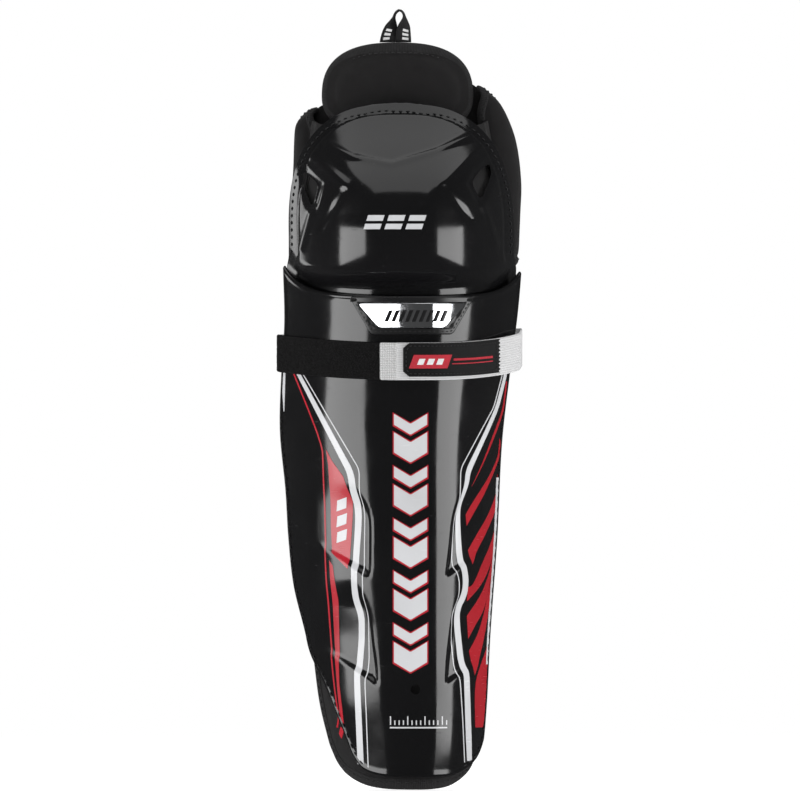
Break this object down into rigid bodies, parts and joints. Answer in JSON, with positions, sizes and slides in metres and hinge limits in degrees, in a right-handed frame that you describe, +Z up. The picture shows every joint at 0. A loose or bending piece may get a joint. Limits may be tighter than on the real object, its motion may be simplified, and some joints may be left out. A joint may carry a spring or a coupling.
{
  "type": "ice hockey shin guard",
  "caption": "Right-leg shin guard: gloss moulded shin shell and domed knee cap on padded fabric, with a thigh flap, side wings, a hang loop and a wrap strap.",
  "frame": {"origin": "centre of the footprint, level with the lowest edge of the padding", "axes": "+Z up along the leg from ankle to thigh, -Y out of the front of the shin, -X the outer side of the right leg"},
  "size_m": [0.1702, 0.1563, 0.5442],
  "materials": {
    "gloss_shell": "high gloss moulded plastic with printed stripes",
    "shell_fabric": "matt black knitted fabric over foam",
    "edge_tape": "black woven binding tape",
    "liner_fabric": "dark grey brushed knit over foam",
    "stiffener_sheet": "natural polyethylene sheet",
    "pile_tape": "black looped pile",
    "elastic_webbing": "white woven elastic",
    "hook_tape": "black moulded hooks",
    "badge_chrome": "bright plated plastic"
  },
  "bodies": {
    "shin": {"shin_shell": "gloss_shell", "badge_bezel": "gloss_shell", "badge_plate": "badge_chrome", "badge_tack_left": "edge_tape", "badge_tack_right": "edge_tape", "shin_chassis": "shell_fabric", "shin_binding": "edge_tape", "shin_liner": "liner_fabric", "tibia_pad": "liner_fabric", "liner_patch_upper": "hook_tape", "liner_patch_lower": "hook_tape", "knee_gusset": "shell_fabric", "strap_pile": "pile_tape", "strap_rear_elastic": "elastic_webbing"},
    "strap_end": {"strap_front_elastic": "elastic_webbing", "strap_hook_patch": "elastic_webbing", "strap_end_tab": "edge_tape"},
    "knee": {"knee_cap": "gloss_shell", "knee_chassis": "shell_fabric", "knee_liner_ring": "liner_fabric", "knee_cup_pad": "liner_fabric", "knee_patch_left": "hook_tape", "knee_patch_right": "hook_tape"},
    "thigh": {"thigh_front_pad": "shell_fabric", "thigh_stiffener": "stiffener_sheet", "thigh_back_pad": "liner_fabric", "thigh_binding": "edge_tape"},
    "loop": {"hang_loop": "edge_tape"},
    "knee_wing_left": {"knee_wing_left_outer_pad": "shell_fabric", "knee_wing_left_stiffener": "stiffener_sheet", "knee_wing_left_inner_pad": "liner_fabric"},
    "knee_wing_right": {"knee_wing_right_outer_pad": "shell_fabric", "knee_wing_right_stiffener": "stiffener_sheet", "knee_wing_right_inner_pad": "liner_fabric"},
    "calf_wing_left": {"calf_wing_left_outer_pad": "shell_fabric", "calf_wing_left_stiffener": "stiffener_sheet", "calf_wing_left_inner_pad": "liner_fabric"},
    "calf_wing_right": {"calf_wing_right_outer_pad": "shell_fabric", "calf_wing_right_stiffener": "stiffener_sheet", "calf_wing_right_inner_pad": "liner_fabric"}
  },
  "joints": [
    {"name": "knee_flex", "type": "hinge", "parent": "shin", "child": "knee", "pos_m": [0.0014, 0.008, 0.35], "axis": [-1, 0, 0], "range_deg": [0, 15]},
    {"name": "thigh_flex", "type": "hinge", "parent": "knee", "child": "thigh", "pos_m": [-0.0014, 0.004, 0.456], "axis": [-1, 0, 0], "range_deg": [0, 25]},
    {"name": "loop_swing", "type": "hinge", "parent": "thigh", "child": "loop", "pos_m": [-0.0023, 0.009, 0.5215], "axis": [1, 0, 0], "range_deg": [-60, 60]},
    {"name": "knee_wing_left_open", "type": "hinge", "parent": "knee", "child": "knee_wing_left", "pos_m": [-0.067, 0.026, 0.366], "axis": [0.1025, -0.1429, 0.9844], "range_deg": [0, 35]},
    {"name": "knee_wing_right_open", "type": "hinge", "parent": "knee", "child": "knee_wing_right", "pos_m": [0.066, 0.026, 0.366], "axis": [0.1043, 0.1428, -0.9842], "range_deg": [0, 35]},
    {"name": "calf_wing_left_open", "type": "hinge", "parent": "shin", "child": "calf_wing_left", "pos_m": [-0.0729, 0.015, 0.169], "axis": [-0.0597, 0.0187, 0.998], "range_deg": [0, 40]},
    {"name": "calf_wing_right_open", "type": "hinge", "parent": "shin", "child": "calf_wing_right", "pos_m": [0.0646, 0.015, 0.169], "axis": [-0.0727, -0.0187, -0.9972], "range_deg": [0, 40]},
    {"name": "strap_open", "type": "hinge", "parent": "shin", "child": "strap_end", "pos_m": [0.0835, 0.0125, 0.304], "axis": [0, 0, 1], "range_deg": [0, 100]}
  ]
}
